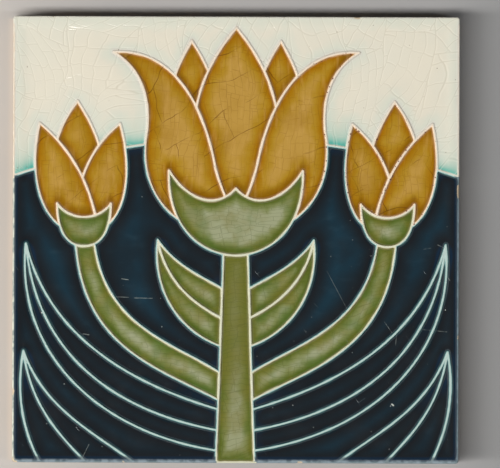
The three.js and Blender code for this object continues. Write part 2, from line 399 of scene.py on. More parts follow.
def inward(points, half_size, radius):
    """How far each point lies inward from the outline of a rectangle with round corners."""
    beyond = np.abs(points) - (np.array(half_size) - radius)
    outside = np.linalg.norm(np.maximum(beyond, 0), axis=1)
    return radius - outside - np.minimum(beyond.max(1), 0)


def edge_distance(points):
    """How far each point lies inward from the tile's outline."""
    return inward(points, HALF_SIDE, CORNER_RADIUS)


def at_top(points):
    """1 beside the tile's top edge, and 0 from a few millimetres below it."""
    return np.clip((points[:, 1] - HALF_SIDE + TOP_BAND) / TOP_BAND_FADE, 0, 1)


def point_tree(points):
    tree = kdtree.KDTree(len(points))
    for i, (x, y) in enumerate(points):
        tree.insert((x, y, 0), i)
    tree.balance()
    return tree


def segment_distance(points, starts, ends):
    """The distance from each point to its own straight segment."""
    along = ends - starts
    share = ((points - starts) * along).sum(1) / np.maximum((along**2).sum(1), 1e-9)
    return np.linalg.norm(points - starts - np.clip(share, 0, 1)[:, None] * along, axis=1)


class NearestLine:
    """The distance from any point to the nearest of some lines, and how much line there is around it."""

    def __init__(self, lines):
        self.points = np.concatenate(lines)
        self.before = np.concatenate([line[[0, *range(len(line) - 1)]] for line in lines])
        self.after = np.concatenate([line[[*range(1, len(line)), -1]] for line in lines])
        self.fine = point_tree(self.points)
        self.coarse = point_tree(np.concatenate([line[::DENSITY_SKIP] for line in lines]))

    def distance(self, points):
        nearest = [self.fine.find((x, y, 0))[1] for x, y in points]
        start = self.points[nearest]
        back = segment_distance(points, start, self.before[nearest])
        return np.minimum(back, segment_distance(points, start, self.after[nearest]))

    def below(self, points):
        """About the distance down to a line, up to the last sag step."""
        found = [step + SAG_SPREAD * self.distance(points - (0, step)) for step in SAG_STEPS]
        return np.min(found, axis=0)

    def density(self, points):
        """About 1 on a single line, more where lines meet, and 0 beyond DENSITY_REACH of every line."""
        found = []
        for x, y in points:
            near = self.coarse.find_range((x, y, 0), DENSITY_REACH)
            found.append(sum(1 - distance / DENSITY_REACH for _, _, distance in near))
        return np.array(found) * DENSITY_SKIP * LINE_STEP / DENSITY_REACH


# Points of the face


def ridge_points(line):
    """Rows of points on a line and beside it, each row with its distance from the line."""
    stations = line[:: round(STATION_STEP / LINE_STEP)]
    ahead = np.gradient(stations, axis=0)
    across = unit(np.stack([-ahead[:, 1], ahead[:, 0]], axis=1))
    offsets = [side * offset for offset in RIDGE_OFFSETS for side in (1, -1)]
    return [(stations + offset * across, abs(offset)) for offset in offsets]


def corner_points(line):
    """Rings of points round a line's ends and sharp corners, which fill the outer side of a corner."""
    ahead = unit(np.diff(line, axis=0))
    sharp = 1 + np.flatnonzero((ahead[1:] * ahead[:-1]).sum(1) < CORNER_COSINE)
    ring = directions(np.arange(RING_POINTS) * math.tau / RING_POINTS)
    return [(line[i] + offset * ring, offset) for i in (0, *sharp, -1) for offset in RIDGE_OFFSETS]


def spaced(points, gap):
    """The points that keep a least gap between them, taken in order."""
    taken = {}
    for x, y in points:
        column, row = int(x // gap), int(y // gap)
        around = [taken.get((column + i, row + j)) for i in (-1, 0, 1) for j in (-1, 0, 1)]
        if all(p is None or math.dist(p, (x, y)) > gap for p in around):
            taken[column, row] = (x, y)
    return np.array(list(taken.values()))


def face_points(lines, nearest):
    """The points of the face: the ridges' crests and flanks, the rim, and an even fill in the cells."""
    rows = [row for line in lines for row in corner_points(line) + ridge_points(line)]
    rows += [(edge_loop(RIM_CREST + offset), offset) for offset in RIDGE_OFFSETS]
    kept = []
    for points, offset in sorted(rows, key=lambda row: row[1]):
        from_line = nearest.distance(points)
        from_rim = edge_distance(points) - RIM_CREST
        nearer = np.minimum(from_line, np.maximum(from_rim, 0))
        kept.append(points[(nearer > offset - OFFSET_SLACK) & (from_rim > -RIM_SLACK)])
    height = FILL_STEP * math.sqrt(3) / 2
    grid_y, grid_x = np.mgrid[-HALF_SIDE:HALF_SIDE:height, -HALF_SIDE:HALF_SIDE:FILL_STEP]
    grid_x[::2] += FILL_STEP / 2
    fill = np.stack([grid_x.ravel(), grid_y.ravel()], axis=1)
    open_glaze = np.minimum(nearest.distance(fill), edge_distance(fill) - RIM_CREST)
    kept.append(fill[open_glaze > RIDGE_OFFSETS[-1] + FILL_STEP / 3])
    inner = spaced(np.concatenate(kept), LEAST_GAP)
    return np.concatenate([edge_loop(ARRIS), inner])


# Surfaces. Each is a dict of points, triangles, a place in the map for each point, a slot for each
# triangle, and those of the point values that it gives.


def edge_ring():
    """Points round the tile's outline, with their outward normals, as four equal quarters."""
    straight = HALF_SIDE - CORNER_RADIUS
    along = np.linspace(-straight, straight, round(2 * straight / EDGE_STEP))
    spread = directions(np.linspace(0, math.pi / 2, EDGE_CORNER_POINTS)[1:-1])
    side = np.stack([np.full_like(along, HALF_SIDE), along], axis=1)
    anchors = np.concatenate([side, straight + CORNER_RADIUS * spread])
    normals = np.concatenate([np.tile((1.0, 0.0), (len(along), 1)), spread])
    quarter_turn = np.array([[0.0, 1.0], [-1.0, 0.0]])
    turns = [np.linalg.matrix_power(quarter_turn, k) for k in range(4)]
    return np.concatenate([anchors @ t for t in turns]), np.concatenate([normals @ t for t in turns])


EDGE_ANCHORS, EDGE_NORMALS = edge_ring()


def edge_loop(inset):
    """The loop of points at a distance inward from the tile's outline, or each at one of its own."""
    return EDGE_ANCHORS - np.reshape(inset, (-1, 1)) * EDGE_NORMALS


def chip_depth(points):
    """How deep the edge is chipped near each point."""
    depth = np.zeros(len(points))
    for x, y, length, most in CHIPS:
        apart = np.linalg.norm(points - (x, y), axis=1) / length
        depth = np.maximum(depth, most * np.exp(-(apart**4)))
    return depth * (1 + CHIP_UNEVEN * waves(points, CHIP_GRAIN, seed=9))


def triangulated(points):
    """The Delaunay triangles of some points, facing up, with the points in the triangles' own order."""
    made = delaunay_2d_cdt([Vector(p) for p in points], [], [], 0, 1e-5)
    first = [sources[0] for sources in made[3]]
    return points[first], np.array(made[2])


def ridge_share(distance):
    """The share of its height that a ridge has at a distance from its crest, with a soft foot."""
    return 1 / (1 + (distance / RIDGE_HALF_WIDTH) ** RIDGE_SHARPNESS)


def waves(points, size, seed=0):
    """Smooth noise from -1 to 1 at each point."""
    return np.array([noise.noise((x / size, y / size, seed)) for x, y in points])


def chip_at_face(points):
    """A chip's depth on the face, which it leaves close to the edge."""
    return chip_depth(points) * np.clip(1 - (edge_distance(points) - ARRIS) / CHIP_ON_FACE, 0, 1)


def face_height(points, nearest, fill):
    """The height of the glaze on the face: ridges, rim, and domed cells filled to their own depths."""
    from_line = nearest.distance(points)
    from_rim = np.maximum(edge_distance(points) - RIM_CREST, 0)
    uneven = 1 + RIDGE_WAVER * waves(points, RIDGE_WAVE)
    ridges_end = 1 - ridge_share(from_line * uneven)
    rim_ends = 1 - ridge_share(from_rim * uneven / RIM_SOFTNESS)
    dome = DOME * (1 - np.exp(-np.minimum(from_line, from_rim) / DOME_REACH))
    dome = dome + CELL_WAVE_HEIGHT * waves(points, CELL_WAVE, seed=5)
    return THICKNESS - ridges_end * rim_ends * (CELL_DEPTH - fill - dome) - chip_at_face(points)


def upward_normals(points, height):
    """The true upward normals of a surface, from the slope of its height both ways."""
    steps = ((SLOPE_REACH, 0), (0, SLOPE_REACH))
    slopes = [(height(points - step) - height(points + step)) / (2 * SLOPE_REACH) for step in steps]
    return unit(np.column_stack([*slopes, np.ones(len(points))]))


def face_surface(shapes, lines):
    """The glazed face up to the start of the eased edge."""
    nearest = NearestLine([part for _, part in lines])
    skyline = NearestLine([part for name, part in lines if name == "hill"])
    points, triangles = triangulated(face_points([part for _, part in lines], nearest))
    from_edge = edge_distance(points)
    # At the top edge the pale rim line and the worn band are held back as painted shade; at the bottom
    # edge the worn band is widened as a painted highlight.
    from_rim = np.maximum(from_edge - RIM_GLAZE, 0) + TOP_EDGE_LINE_SHADE * at_top(points)
    fill = np.where(glaze_at(points, shapes) == CREAM, CREAM_FILL, GLAZE_FILL)
    worn_and_lit_below = 1 - (1 - BOTTOM_EDGE_HIGHLIGHT_SHARE) * at_top(-points)
    return dict(
        points=np.column_stack([points, face_height(points, nearest, fill)]),
        normals=upward_normals(points, lambda places: face_height(places, nearest, fill)),
        triangles=triangles,
        places=FACE_IN_MAP * (points / HALF_SIDE + 1) / 2 + MAP_MARGIN,
        slots=glaze_at(points[triangles].mean(1), shapes),
        line_mm=np.minimum(nearest.distance(points), from_rim),
        skyline_mm=skyline.distance(points),
        pooling=nearest.density(points),
        below_mm=nearest.below(points),
        edge_mm=from_edge * worn_and_lit_below + TOP_EDGE_WEAR_SHADE * at_top(points),
        chipped=chip_at_face(points) / CHIP_SHOWS,
    )


def side_rows():
    """The rows of points down all four sides, from the face's edge to the back's."""
    chip = chip_depth(edge_loop(ARRIS))
    shoulder = THICKNESS - ARRIS
    rows = []
    for turn in np.linspace(0, math.pi / 2, ARRIS_ROWS):
        outward, upward = math.sin(turn), math.cos(turn)
        inset = ARRIS * (1 - outward) + chip * outward
        rows.append((inset, THICKNESS - ARRIS * (1 - upward) - chip * upward))
    uneven = sum(waves(EDGE_ANCHORS, size, seed) for size, seed in GLAZE_RUN_WAVES)
    foot = shoulder - np.clip(GLAZE_RUN + GLAZE_RUN_VARIES * uneven, LEAST_RUN, None)
    for inset, chipped, share in RUN_ROWS:
        rows.append((inset + chipped * chip, (1 - share) * shoulder + share * foot))
    rows.append((CLAY_INSET, foot - GLAZE_FOOT))
    rows += [(CLAY_INSET, foot * share + ARRIS * (1 - share)) for share in CLAY_SHARES]
    rows += LOWER_EDGE
    loops = [np.broadcast_arrays(*edge_loop(inset).T, z) for inset, z in rows]
    return np.array([np.column_stack(loop) for loop in loops])


def side_surface(quarter, all_rows, shapes):
    """One side and the corner after it, from the face's edge down to the back's."""
    count = len(EDGE_ANCHORS) // 4
    steps = np.arange(quarter * count, (quarter + 1) * count + 1) % len(EDGE_ANCHORS)
    rows = all_rows[:, steps]
    height, width = rows.shape[:2]
    index = np.arange(height * width).reshape(height, width)
    a, b, c, d = index[:-1, :-1], index[:-1, 1:], index[1:, 1:], index[1:, :-1]
    triangles = np.concatenate([np.stack([a, d, c], -1), np.stack([a, c, b], -1)], axis=1)
    slots = np.full((height - 1, width - 1), CLAY)
    slots[:GLAZED_ROWS] = glaze_at(edge_loop(RIM_CREST)[steps], shapes)[:-1]
    down = length_along(rows[:, 0])
    # Along the top edge the pale line and the worn band are held back, as painted shade.
    top = at_top(EDGE_ANCHORS[steps])
    from_crest = np.interp(down, *zip(*THINNED_DOWN))[:, None] + TOP_EDGE_LINE_SHADE * top
    across = MAP_MARGIN + np.linspace(0, FACE_IN_MAP, width)
    up = 2 * MAP_MARGIN + FACE_IN_MAP + quarter * SIDE_IN_MAP + down * FACE_IN_MAP / (2 * HALF_SIDE)
    return dict(
        points=rows.reshape(-1, 3),
        triangles=triangles.reshape(-1, 3),
        places=np.stack(np.broadcast_arrays(across, up[:, None]), axis=-1).reshape(-1, 2),
        slots=np.concatenate([slots, slots], axis=1).ravel(),
        line_mm=from_crest.ravel(),
        pooling=SIDE_POOLING,
        edge_mm=(np.maximum(down - WORN_DOWN, 0)[:, None] + TOP_EDGE_WEAR_SHADE * top).ravel(),
        chipped=np.tile(chip_depth(edge_loop(ARRIS))[steps], height) / CHIP_SHOWS,
    )


def key_heights():
    """The middle of each key groove, up the back."""
    return (np.arange(KEY_COUNT) - (KEY_COUNT - 1) / 2) * KEY_PITCH


def key_ring(inset):
    """Points round a rectangle with round corners, at a distance inward from a key groove's mouth."""
    radius = max(KEY_CORNER - inset, KEY_LEAST_CORNER)
    middle = np.array(KEY_HALF_SIZE) - inset - radius
    arc = radius * directions(np.linspace(0, math.pi / 2, KEY_CORNER_POINTS))
    corners = [(1, 1, arc), (-1, 1, arc[::-1]), (-1, -1, arc), (1, -1, arc[::-1])]
    loop = np.concatenate([(turn + middle) * (i, j) for i, j, turn in corners])
    return np.array([
        a + (b - a) * t
        for a, b in zip(loop, np.roll(loop, -1, axis=0))
        for t in np.linspace(0, 1, max(1, round(math.dist(a, b) / KEY_RING_STEP)), endpoint=False)
    ])


def key_depth(points):
    """How deep the key grooves are at each point of the back."""
    from_groove = np.abs(points[:, 1:2] - key_heights()).min(1)
    within = inward(np.column_stack([points[:, 0], from_groove]), KEY_HALF_SIZE, KEY_CORNER)
    start, end = KEY_WALL
    t = np.clip((within - start) / (end - start), 0, 1)
    return KEY_DEPTH * t * t * (3 - 2 * t)


def back_surface():
    """The keyed back, inside the eased edge."""
    rings = [key_ring(inset) for inset in KEY_RINGS]
    grooves = [ring + (0, y) for y in key_heights() for ring in rings]
    points, triangles = triangulated(np.concatenate([edge_loop(ARRIS), *grooves]))
    shrunk = BACK_IN_MAP * (points * (-1, 1) / HALF_SIDE + 1) / 2
    return dict(
        points=np.column_stack([points, key_depth(points)]),
        normals=-upward_normals(points, key_depth),
        triangles=triangles[:, ::-1],
        places=shrunk + (2 * MAP_MARGIN + FACE_IN_MAP, MAP_MARGIN),
        slots=np.full(len(triangles), CLAY),
    )


def joined_mesh(name, surfaces):
    """One mesh of several surfaces that share their edge points."""
    counts = np.cumsum([0] + [len(s["points"]) for s in surfaces])
    points = np.concatenate([s["points"] for s in surfaces])
    corners = np.concatenate([s["triangles"] + start for s, start in zip(surfaces, counts)])
    _, first, merged = np.unique(np.round(points, 3), axis=0, return_index=True, return_inverse=True)
    mesh = bpy.data.meshes.new(name)
    mesh.from_pydata((points[first] * MM).tolist(), [], merged.ravel()[corners].tolist())
    places = np.concatenate([s["places"] for s in surfaces])
    mesh.uv_layers.new(name="OFBake").data.foreach_set("uv", places[corners].ravel())
    for value, usual in POINT_VALUES.items():
        parts = [np.broadcast_to(s.get(value, usual), len(s["points"])) for s in surfaces]
        values = np.concatenate(parts)[first]
        mesh.attributes.new(value, "FLOAT", "POINT").data.foreach_set("value", values)
    mesh.polygons.foreach_set("material_index", np.concatenate([s["slots"] for s in surfaces]))
    mesh.polygons.foreach_set("use_smooth", np.ones(len(corners), bool))
    mesh.update()
    normals = np.array([v.vector for v in mesh.vertex_normals])
    for start, end, surface in zip(counts, counts[1:], surfaces):
        if "normals" in surface:
            normals[merged.ravel()[start:end]] = surface["normals"]
    mesh.normals_split_custom_set_from_vertices(normals)
    return mesh


# Materials


def linear(red, green, blue):
    """A colour picked from a picture, 0 to 255, as the shader's linear RGBA."""
    share = [c / 255 for c in (red, green, blue)]
    return (*(c / 12.92 if c <= 0.04045 else ((c + 0.055) / 1.055) ** 2.4 for c in share), 1)


class Graph:
    """A material under construction. Most methods add nodes and return outputs. Lengths are in mm."""

    def __init__(self, name, colour=(255, 255, 255)):
        self.colour = linear(*colour)
        self.material = bpy.data.materials.new(name)
        self.material.use_nodes = True
        self.tree = self.material.node_tree
        self.shader = self.tree.nodes["Principled BSDF"]
        self.place = self.scaled(self.node("TexCoord").outputs["Object"], 1 / MM)

    def node(self, kind, inputs=(), **settings):
        """Adds a node, and feeds its inputs by name or number with outputs or plain values."""
        node = self.tree.nodes.new("ShaderNode" + kind)
        for setting, value in settings.items():
            setattr(node, setting, value)
        for key, value in dict(inputs).items():
            self.feed(node.inputs[key], value)
        return node

    def feed(self, socket, value):
        if isinstance(value, bpy.types.NodeSocket):
            self.tree.links.new(value, socket)
        else:
            socket.default_value = value

    def set(self, **inputs):
        """Feeds the shader, with underscores for the spaces in an input's name."""
        for name, value in inputs.items():
            self.feed(self.shader.inputs[name.replace("_", " ")], value)

    def math(self, operation, *values, clamp=False):
        return self.node("Math", enumerate(values), operation=operation, use_clamp=clamp).outputs[0]

    def times(self, value, other, clamp=False):
        return self.math("MULTIPLY", value, other, clamp=clamp)

    def plus(self, value, other):
        return self.math("ADD", value, other)

    def minus(self, value, other):
        return self.math("SUBTRACT", value, other)

    def scaled(self, vector, scale):
        return self.node("VectorMath", {0: vector, "Scale": scale}, operation="SCALE").outputs[0]

    def added(self, vector, other):
        return self.node("VectorMath", {0: vector, 1: other}, operation="ADD").outputs[0]

    def stretched(self, vector, factors):
        return self.node("VectorMath", {0: vector, 1: factors}, operation="MULTIPLY").outputs[0]

    def turned(self, vector, degrees):
        return self.node("VectorRotate", {0: vector, "Angle": math.radians(degrees)}).outputs[0]

    def parts(self, vector):
        return self.node("SeparateXYZ", {0: vector}).outputs

    def joined(self, *numbers):
        return self.node("CombineXYZ", enumerate(numbers)).outputs[0]

    def value(self, name):
        """One of the mesh's own point values."""
        return self.node("Attribute", attribute_name=name).outputs["Fac"]

    def step(self, value, start, end, low=0, high=1):
        """A smooth step of a value, from low at start to high at end."""
        inputs = enumerate((value, start, end, low, high))
        return self.node("MapRange", inputs, interpolation_type="SMOOTHSTEP").outputs[0]

    def mix(self, share, base, other, blend="MIX"):
        """The base colour with a share of another."""
        node = self.node("Mix", {0: share, 6: base, 7: other}, data_type="RGBA", blend_type=blend)
        return node.outputs[2]

    def tint(self, share, colour, blend="MIX"):
        """Mixes a share of a picked colour into the colour so far."""
        self.colour = self.mix(share, self.colour, linear(*colour), blend)

    def wash(self, share, colour):
        """Tints a glaze, but for the ridges' crests, where it is thin."""
        self.tint(self.times(share, self.step(self.value("line_mm"), 0.4, 0.8)), colour)

    def ramp(self, value, stops):
        """A colour that follows a value through stops of (value, colour)."""
        reach = stops[-1][0]
        node = self.node("ValToRGB", {0: self.math("DIVIDE", value, reach)})
        elements = node.color_ramp.elements
        while len(elements) < len(stops):
            elements.new(1)
        for element, (at, colour) in zip(elements, stops):
            element.position = at / reach
            element.color = linear(*colour)
        return node.outputs[0]

    def noise(self, size, detail=2, place=None, seed=0):
        """Smooth noise, 0 to 1, with blobs of about a size."""
        inputs = {"Vector": place or self.place, "W": seed, "Scale": 1 / size, "Detail": detail}
        return self.node("TexNoise", inputs, noise_dimensions="4D").outputs[0]

    def wandering(self, place, width, bends, stray, seed):
        """A place that wanders along bends, which are given in shares of a width."""
        length, reach = bends
        inputs = {"Vector": place, "W": seed, "Scale": 1 / (length * width), "Detail": 1}
        noise = self.node("TexNoise", inputs, noise_dimensions="4D").outputs["Color"]
        centred = self.added(noise, (-0.5, -0.5, -0.5))
        return self.added(place, self.scaled(centred, 2 * reach * width * stray))

    def bands(self, value, width):
        """Cuts a value into bands. Gives the band, the place across it, and the distance to a cut."""
        turn = self.math("DIVIDE", value, width)
        across = self.times(self.minus(self.math("FRACT", turn), 0.5), width)
        to_cut = self.minus(width / 2, self.math("ABSOLUTE", across))
        return self.math("FLOOR", turn), across, to_cut

    def cells(self, place, size, seed):
        """Cuts a plane into cells like shifted brickwork. Gives the distance to the cuts, the place from
        the cell's middle, and three random numbers for the cell."""
        x, y, _ = self.parts(place)
        column, across, to_long = self.bands(x, size[0])
        inputs = {"W": self.plus(column, seed * COLUMN_SEED_STEP)}
        chance = self.node("TexWhiteNoise", inputs, noise_dimensions="1D").outputs["Value"]
        slid = self.math("MULTIPLY_ADD", chance, COLUMN_SLIDE, y)
        row, along, to_short = self.bands(slid, size[1])
        key = self.joined(column, row, seed)
        chances = self.node("TexWhiteNoise", {"Vector": key}, noise_dimensions="3D").outputs["Color"]
        to_cut = self.math("MINIMUM", to_long, to_short)
        return to_cut, self.joined(across, along, 0), self.parts(chances)

    def cracks(self, size, angle, seed, stray=1):
        """Cells between long cracks that wander, joined by shorter ones, as cells() gives them."""
        shift = (seed * SEED_STEP[0], seed * SEED_STEP[1], 0)
        place = self.added(self.turned(self.place, angle), shift)
        swept = self.wandering(place, size[0], SWEEP, stray, seed)
        wobbly = self.wandering(swept, size[0], WOBBLE, stray, seed + 1)
        return self.cells(wobbly, size, seed)

    def crazing(self, coarse, fine, angle, seed, turn=1.2, bow=0.05, stray=1):
        """The distance to crazing: coarse cells, each with finer ones, bowed and turned its own way."""
        to_coarse, middle, chances = self.cracks(coarse, angle, seed, stray)
        spin = self.times(self.minus(chances[0], 0.5), turn)
        x, y, _ = self.parts(self.node("VectorRotate", {0: middle, "Angle": spin}).outputs[0])
        bend = self.times(self.minus(chances[1], 0.5), bow)
        bowed = self.math("MULTIPLY_ADD", self.times(y, y), bend, x)
        shift = self.times(chances[2], CELL_SHIFT)
        place = self.joined(self.plus(bowed, shift), y, 0)
        wobbly = self.wandering(place, fine[0], FINE_WOBBLE, stray, seed + 2)
        return self.math("MINIMUM", to_coarse, self.cells(wobbly, fine, seed + 3)[0])

    def dots(self, spacing, radius, share, seed=0, dimensions="2D"):
        """Round specks in a share of a loose grid's cells, on the face's plane or through the body."""
        shift = (seed * DOT_SEED_STEP[0], seed * DOT_SEED_STEP[1], 0)
        inputs = {"Vector": self.added(self.place, shift), "Scale": 1 / spacing}
        cells = self.node("TexVoronoi", inputs, voronoi_dimensions=dimensions, distance="EUCLIDEAN")
        distance = self.times(cells.outputs["Distance"], spacing)
        chosen = self.math("LESS_THAN", self.parts(cells.outputs["Color"])[0], share)
        size = self.times(self.parts(cells.outputs["Color"])[1], radius)
        return self.times(chosen, self.step(self.minus(distance, size), 0, DOT_EDGE, 1, 0))

    def mark(self, start, end, width):
        """A straight mark between two points of the face."""
        angle = math.atan2(end[1] - start[1], end[0] - start[0])
        place = self.added(self.place, (-start[0], -start[1], 0))
        x, y, _ = self.parts(self.turned(place, -math.degrees(angle)))
        past = self.minus(x, math.dist(start, end))
        beyond = self.math("MAXIMUM", self.math("MAXIMUM", past, self.times(x, -1)), 0)
        squares = self.plus(self.math("POWER", beyond, 2), self.math("POWER", y, 2))
        return self.step(self.math("SQRT", squares), 0, width, 1, 0)

    def bump(self, height, depth):
        """A normal for a height of 0 to 1 that stands for a depth in millimetres."""
        inputs = {"Height": height, "Distance": depth * MM, "Strength": 1}
        return self.node("Bump", inputs).outputs[0]


def start_glaze(name, stops, rough=0.1):
    """The start of a glaze: its colour by the distance from a ridge, and a slightly uneven gloss."""
    g = Graph(name)
    uneven = g.times(g.step(g.noise(5, 3), 0.3, 0.7, 0.8, 1.25), g.value("line_mm"))
    g.colour = g.ramp(uneven, stops)
    gloss = g.step(g.noise(7, 4, seed=3), 0.3, 0.75, rough * 0.75, rough * 1.8)
    worn = g.step(g.value("line_mm"), 0.8, 1.15, 0.48, 0)
    g.set(IOR=GLAZE_IOR, Roughness=g.plus(gloss, worn))
    return g


def cracked_relief(g, net):
    """The height of a finely crazed glaze: grooves along the cracks, and a slight swell."""
    return g.plus(g.step(net, 0, 0.2, 0, 0.35), g.times(g.noise(2.5, 3, seed=4), 1.1))


def edge_wear_and_light(g, start, end, rubbed, lit_left):
    """Rubs the glaze thin at the tile's edge in streaks, with a colour of its own on the left edge, which
    is painted light from the left.
    """
    # The left edge's own colour is painted light, for the light that falls on it from the left.
    left_light = g.step(g.parts(g.place)[0], 0.5 - HALF_SIDE, 2 - HALF_SIDE, 1, 0)
    colour = g.mix(left_light, linear(*rubbed), linear(*lit_left))
    streaks = g.noise(0.6, 3, g.stretched(g.place, (0.3, 0.3, 1)), 13)
    worn = g.step(g.value("edge_mm"), start, end, g.step(streaks, 0.36, 0.6, 0.3, 1), 0)
    g.colour = g.mix(worn, g.colour, colour)


def finish_glaze(g, height, depth):
    """Ends a glaze: its relief, and the bare clay where the edge is chipped."""
    ragged = g.step(g.noise(0.8, 3, seed=12), 0.3, 0.7, -0.3, 0.3)
    g.tint(g.step(g.plus(g.value("chipped"), ragged), 0.7, 0.95), CHIP_COLOUR)
    g.set(Base_Color=g.colour, Normal=g.bump(height, depth))
    return g.material


def cream_glaze():
    """The pale glaze, turquoise beside the blue, with painted shade beside the ridges, and with long
    cracks that have painted highlights as pale bands beside them.
    """
    # Pale on the thin crests, then a painted shade on the ridges' flanks and feet, greenish where the
    # glaze pools.
    stops = [
        (0, (236, 223, 204)), (0.22, (218, 206, 188)), (0.55, (200, 193, 180)), (0.9, (212, 212, 199)),
        (1.8, (217, 219, 203)), (5, (227, 221, 203)), (9, (230, 223, 204)),
    ]
    g = start_glaze("cream_glaze", stops, rough=0.12)
    g.tint(g.step(g.noise(26, 2, seed=5), 0.35, 0.7, 0, 0.5), (224, 222, 206))
    ragged = g.step(g.noise(9, 3, g.stretched(g.place, (1, 0.35, 1)), 2), 0.3, 0.7, 0.65, 1.5)
    reach = g.times(ragged, g.step(g.value("pooling"), 0.6, 2.2, 2.3, 4.2))
    near_blue = g.math("EXPONENT", g.math("DIVIDE", g.times(g.value("skyline_mm"), -1), reach))
    turquoise = g.times(near_blue, g.step(g.value("line_mm"), 0.35, 0.85))
    deep = g.times(turquoise, g.step(g.value("pooling"), 1.15, 2.1))
    g.tint(g.step(g.value("skyline_mm"), 0, 14, 0.3, 0), (196, 214, 200))
    g.tint(g.times(turquoise, 1.25, clamp=True), (88, 178, 162))
    g.tint(g.times(deep, 1.5, clamp=True), (8, 142, 130))
    net = g.crazing((17, 25), (3.9, 6.6), 12, 1)
    fade = g.step(g.noise(12, 2, seed=8), 0.32, 0.6, 0.45, 1)
    # Dark lines along the cracks: partly the cracks' own colour, partly painted shade of the grooves.
    line = g.times(g.step(net, 0.03, 0.17, 1, 0), fade)
    g.tint(g.times(line, 0.19), (165, 150, 118), "MULTIPLY")
    # Pale bands beside the cracks: painted highlights, for the lit walls of the grooves.
    crack_highlight = g.step(g.math("ABSOLUTE", g.minus(net, 0.33)), 0.05, 0.17, 0.28, 0)
    g.tint(g.times(crack_highlight, fade), (241, 235, 219))
    g.tint(g.dots(3.1, 0.12, 0.05), (120, 95, 70))
    groove = g.times(g.step(net, 0, 0.45), fade)
    height = g.plus(groove, g.times(g.noise(3, 3, seed=4), 0.8))
    edge_wear_and_light(g, 0.25, 0.9, (234, 226, 210), (214, 198, 176))
    return finish_glaze(g, height, depth=0.028)


def ochre_glaze():
    """The flowers' glaze, streaked, stained along its cracks, and pitted on the right."""
    stops = [
        (0, (240, 224, 202)), (0.36, (232, 208, 180)), (0.6, (184, 132, 60)), (0.85, (160, 102, 6)),
        (1.7, (165, 115, 9)), (3.6, (174, 134, 35)), (6.5, (187, 147, 68)),
    ]
    g = start_glaze("ochre_glaze", stops)
    deep = g.step(g.value("pooling"), 0.9, 2)
    g.wash(g.times(deep, 0.75), (108, 72, 0))
    sagged = g.step(g.value("below_mm"), 1.2, 5.5, 0.8, 0)
    g.wash(sagged, (122, 82, 0))
    mottle = g.step(g.noise(11, 3, seed=2), 0.42, 0.72, 0, 0.45)
    g.wash(mottle, (150, 108, 14))
    streaks = g.step(g.noise(1.6, 2, g.stretched(g.place, (1, 0.2, 1))), 0.5, 0.75, 0, 0.22)
    g.wash(streaks, (214, 170, 98))
    net = g.crazing((8, 13), (2.3, 4.2), 4, 3, turn=0.3, bow=0.02, stray=0.6)
    faint = g.step(g.noise(7, 2, seed=11), 0.35, 0.65, 0.14, 0.42)
    fine = g.times(g.step(net, 0.02, 0.12, 1, 0), faint)
    g.wash(fine, (120, 76, 10))
    stained, _, _ = g.cracks((11, 23), 62, 4)
    stain = g.times(g.step(stained, 0.03, 0.2, 0.75, 0), g.step(g.noise(9, 2, seed=6), 0.42, 0.6))
    g.tint(g.times(stain, g.step(g.value("line_mm"), 0.3, 0.8, 0.3, 1)), (92, 52, 8))
    east = g.step(g.parts(g.place)[0], 14, 30)
    beside = g.step(g.math("ABSOLUTE", g.minus(g.value("line_mm"), 0.35)), 0.3, 0.75, 1, 0)
    pits = g.times(g.dots(0.9, 0.26, 0.3, 5), g.times(east, beside))
    g.tint(g.times(pits, 0.85), (104, 50, 40))
    height = g.minus(cracked_relief(g, net), g.times(pits, 2.5))
    return finish_glaze(g, height, depth=0.022)


def green_glaze():
    """The mottled glaze of stems and cups, browner in the middle stem."""
    stops = [
        (0, (218, 218, 196)), (0.36, (204, 205, 174)), (0.58, (132, 118, 66)), (0.85, (82, 92, 30)),
        (1.6, (93, 106, 41)), (3, (126, 134, 82)), (5, (157, 161, 127)),
    ]
    g = start_glaze("green_glaze", stops)
    deep = g.step(g.value("pooling"), 1.1, 2.2, 0, 0.7)
    g.wash(deep, (70, 86, 28))
    sagged = g.step(g.value("below_mm"), 1.2, 4.5, 0.7, 0)
    g.wash(sagged, (72, 90, 26))
    warm = g.step(g.noise(9, 3, seed=7), 0.42, 0.65, 0, 0.5)
    g.wash(warm, (122, 114, 44))
    fresh = g.step(g.noise(8, 2, seed=9), 0.48, 0.68, 0, 0.5)
    g.wash(fresh, (80, 108, 46))
    x, y, _ = g.parts(g.place)
    along_stem = g.times(g.step(g.math("ABSOLUTE", x), 5.5, 8, 0.75, 0), g.step(y, -68, -32, 0.2, 1))
    below_cup = g.times(along_stem, g.step(y, -6.2, -4.6, 1, 0))
    g.wash(below_cup, (107, 107, 42))
    net = g.crazing((7, 11), (1.5, 5.5), 88, 5, turn=0.4, bow=0.05, stray=0.9)
    g.wash(g.step(net, 0.02, 0.13, 0.32, 0), (70, 78, 30))
    return finish_glaze(g, cracked_relief(g, net), depth=0.022)


